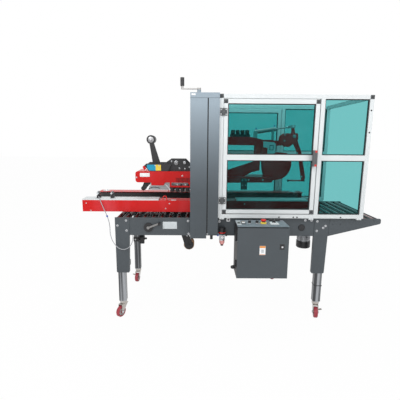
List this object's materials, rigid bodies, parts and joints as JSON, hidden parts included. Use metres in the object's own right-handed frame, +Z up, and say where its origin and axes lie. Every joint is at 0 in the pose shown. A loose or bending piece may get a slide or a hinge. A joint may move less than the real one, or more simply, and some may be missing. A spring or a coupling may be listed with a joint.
{
  "type": "carton sealer",
  "caption": "Carton sealing machine on casters: roller bed with side belts, a lifting tape head on a gantry, an enclosed flap folder with doors, and a control box.",
  "frame": {"origin": "centre of the outline on the floor", "axes": "+X from the exit end to the infeed end, +Y from the operator's side to the far side, +Z up"},
  "size_m": [1.982, 0.907, 1.568],
  "materials": {
    "frame_paint": "grey textured powder coat",
    "red_paint": "glossy red paint",
    "black_paint": "satin black paint",
    "bare_steel": "turned and plated steel",
    "caster_steel": "bright zinc plate",
    "silver_bar": "silver anodised bar",
    "motor_metal": "cast and painted silver grey",
    "teal_pane": "clear tinted plastic pane",
    "clear_bowl": "clear plastic bowl",
    "belt_rubber": "matt black belt",
    "press_rubber": "matt black rubber",
    "red_tread": "dark red moulded tread",
    "black_plastic": "moulded black plastic",
    "grey_lead": "pale grey flexible sheath"
  },
  "bodies": {
    "frame": {"bed_side_near": "frame_paint", "bed_side_far": "frame_paint", "bed_cross_plates": "frame_paint", "rollers": "bare_steel", "infeed_table": "frame_paint", "leg_sleeves": "frame_paint", "leg_tubes": "frame_paint", "column_near": "frame_paint", "column_far": "frame_paint", "top_crossbeam": "frame_paint", "lift_rods": "bare_steel", "guard_frame_near": "silver_bar", "guard_frame_far": "silver_bar", "guard_panes": "teal_pane", "guard_ties": "silver_bar", "slide_rods": "bare_steel", "control_box": "frame_paint", "box_controls": "black_plastic", "lower_tape_unit": "black_paint", "air_regulator": "motor_metal", "regulator_bowl": "clear_bowl", "sensor_cord": "grey_lead"},
    "near_guard_door": {"door_near": "silver_bar", "door_panes_near": "teal_pane"},
    "far_guard_door": {"door_far": "silver_bar", "door_panes_far": "teal_pane"},
    "box_door": {"control_box_door": "frame_paint"},
    "head": {"head_housing": "red_paint", "head_arms": "frame_paint", "tape_head": "black_paint", "press_rollers": "press_rubber", "reel_arm": "black_paint", "flap_beam": "red_paint", "flap_plough": "red_paint", "air_works": "bare_steel"},
    "near_belt": {"belt_housing_near": "red_paint", "belt_near": "belt_rubber", "belt_works_near": "bare_steel", "belt_motor_near": "motor_metal", "sensor_rails": "silver_bar", "photo_sensors": "black_plastic"},
    "far_belt": {"belt_housing_far": "red_paint", "belt_far": "belt_rubber", "belt_works_far": "bare_steel", "belt_motor_far": "motor_metal"},
    "lift_crank": {"top_crank": "bare_steel"},
    "width_crank": {"side_crank": "bare_steel"},
    "upper_core": {"tape_core_top": "black_plastic"},
    "lower_core": {"tape_core_lower": "black_plastic"},
    "flap_folder": {"flap_arm": "red_paint"},
    "flap_piston": {"cylinder_rod": "bare_steel"},
    "swivel_exit_near": {"caster_fork_exit_near": "caster_steel"},
    "wheel_exit_near": {"caster_wheel_exit_near": "red_tread"},
    "swivel_exit_far": {"caster_fork_exit_far": "caster_steel"},
    "wheel_exit_far": {"caster_wheel_exit_far": "red_tread"},
    "swivel_infeed_near": {"caster_fork_infeed_near": "caster_steel"},
    "wheel_infeed_near": {"caster_wheel_infeed_near": "red_tread"},
    "swivel_infeed_far": {"caster_fork_infeed_far": "caster_steel"},
    "wheel_infeed_far": {"caster_wheel_infeed_far": "red_tread"}
  },
  "joints": [
    {"name": "near_door_hinge", "type": "hinge", "parent": "frame", "child": "near_guard_door", "pos_m": [-0.0605, -0.2905, 1.1], "axis": [0, 0, -1], "range_deg": [0, 110]},
    {"name": "far_door_hinge", "type": "hinge", "parent": "frame", "child": "far_guard_door", "pos_m": [-0.0605, 0.4275, 1.1], "axis": [0, 0, 1], "range_deg": [0, 110]},
    {"name": "box_door_hinge", "type": "hinge", "parent": "frame", "child": "box_door", "pos_m": [0.017, -0.433, 0.53], "axis": [0, 0, -1], "range_deg": [0, 120]},
    {"name": "head_lift", "type": "slide", "parent": "frame", "child": "head", "axis": [0, 0, 1], "range_m": [-0.125, 0.13]},
    {"name": "near_belt_slide", "type": "slide", "parent": "frame", "child": "near_belt", "axis": [0, -1, 0], "range_m": [-0.016, 0.06], "deforming": ["sensor_cord"]},
    {"name": "far_belt_slide", "type": "slide", "parent": "frame", "child": "far_belt", "axis": [0, 1, 0], "range_m": [-0.016, 0.06]},
    {"name": "lift_crank_turn", "type": "hinge", "parent": "frame", "child": "lift_crank", "pos_m": [-0.211, -0.2745, 1.498], "axis": [0, 0, 1], "continuous": true},
    {"name": "width_crank_turn", "type": "hinge", "parent": "frame", "child": "width_crank", "pos_m": [-0.53825, -0.2435, 0.634], "axis": [0, -1, 0], "continuous": true},
    {"name": "upper_core_spin", "type": "hinge", "parent": "head", "child": "upper_core", "pos_m": [-0.549, 0.0685, 1.201], "axis": [0, -1, 0], "continuous": true},
    {"name": "lower_core_spin", "type": "hinge", "parent": "frame", "child": "lower_core", "pos_m": [-0.279, 0.0685, 0.428], "axis": [0, -1, 0], "continuous": true},
    {"name": "flap_arm_swing", "type": "hinge", "parent": "head", "child": "flap_folder", "pos_m": [0.467, 0.0685, 1.231], "axis": [0, -1, 0], "range_deg": [0, 55]},
    {"name": "piston_slide", "type": "slide", "parent": "head", "child": "flap_piston", "axis": [-0.9888, 0, -0.1495], "range_m": [0, 0.0595]},
    {"name": "swivel_exit_near_turn", "type": "hinge", "parent": "frame", "child": "swivel_exit_near", "pos_m": [-0.7255, -0.2185, 0.1], "axis": [0, 0, 1], "continuous": true},
    {"name": "wheel_exit_near_spin", "type": "hinge", "parent": "swivel_exit_near", "child": "wheel_exit_near", "pos_m": [-0.73958, -0.24499, 0.0375], "axis": [0.8829, -0.4695, 0], "continuous": true},
    {"name": "swivel_exit_far_turn", "type": "hinge", "parent": "frame", "child": "swivel_exit_far", "pos_m": [-0.7255, 0.3555, 0.1], "axis": [0, 0, 1], "continuous": true},
    {"name": "wheel_exit_far_spin", "type": "hinge", "parent": "swivel_exit_far", "child": "wheel_exit_far", "pos_m": [-0.72916, 0.32572, 0.0375], "axis": [0.9925, -0.1219, 0], "continuous": true},
    {"name": "swivel_infeed_near_turn", "type": "hinge", "parent": "frame", "child": "swivel_infeed_near", "pos_m": [0.6075, -0.2185, 0.1], "axis": [0, 0, 1], "continuous": true},
    {"name": "wheel_infeed_near_spin", "type": "hinge", "parent": "swivel_infeed_near", "child": "wheel_infeed_near", "pos_m": [0.60178, -0.24795, 0.0375], "axis": [0.9816, -0.1908, 0], "continuous": true},
    {"name": "swivel_infeed_far_turn", "type": "hinge", "parent": "frame", "child": "swivel_infeed_far", "pos_m": [0.4395, 0.3555, 0.1], "axis": [0, 0, 1], "continuous": true},
    {"name": "wheel_infeed_far_spin", "type": "hinge", "parent": "swivel_infeed_far", "child": "wheel_infeed_far", "pos_m": [0.4395, 0.3855, 0.0375], "axis": [-1, 0, 0], "continuous": true}
  ],
  "couplings": [
    {"joint": "far_belt_slide", "follows": "near_belt_slide", "ratio": 1},
    {"joint": "width_crank_turn", "follows": "near_belt_slide", "rad_per_m": 628.32},
    {"joint": "lift_crank_turn", "follows": "head_lift", "rad_per_m": -628.32},
    {"joint": "piston_slide", "follows": "flap_arm_swing", "m_per_rad": 0.0615}
  ]
}
